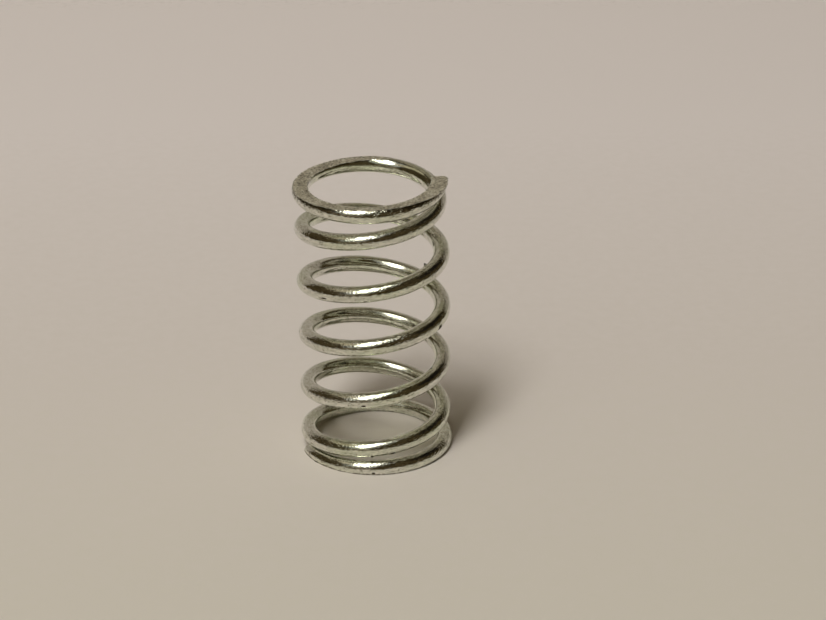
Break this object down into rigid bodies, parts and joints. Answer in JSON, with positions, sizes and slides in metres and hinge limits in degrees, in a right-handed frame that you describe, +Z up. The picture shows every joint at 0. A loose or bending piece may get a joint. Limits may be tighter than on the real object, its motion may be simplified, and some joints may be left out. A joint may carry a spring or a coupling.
{
  "type": "compression spring",
  "caption": "Small cylindrical compression spring of round plated wire, right-hand wound, with closed ends ground flat so that it stands upright.",
  "frame": {"origin": "centre of the coil at the lower ground face, which is the bottom of the box round the part", "axes": "+Z up the coil's axis, the long way; -Y is the front"},
  "size_m": [0.0125, 0.0122, 0.0224],
  "materials": {
    "plated_wire": "bright zinc plate, slightly worn, with matte ground ends"
  },
  "bodies": {
    "root": {"spring_coil": "plated_wire"}
  },
  "joints": []
}
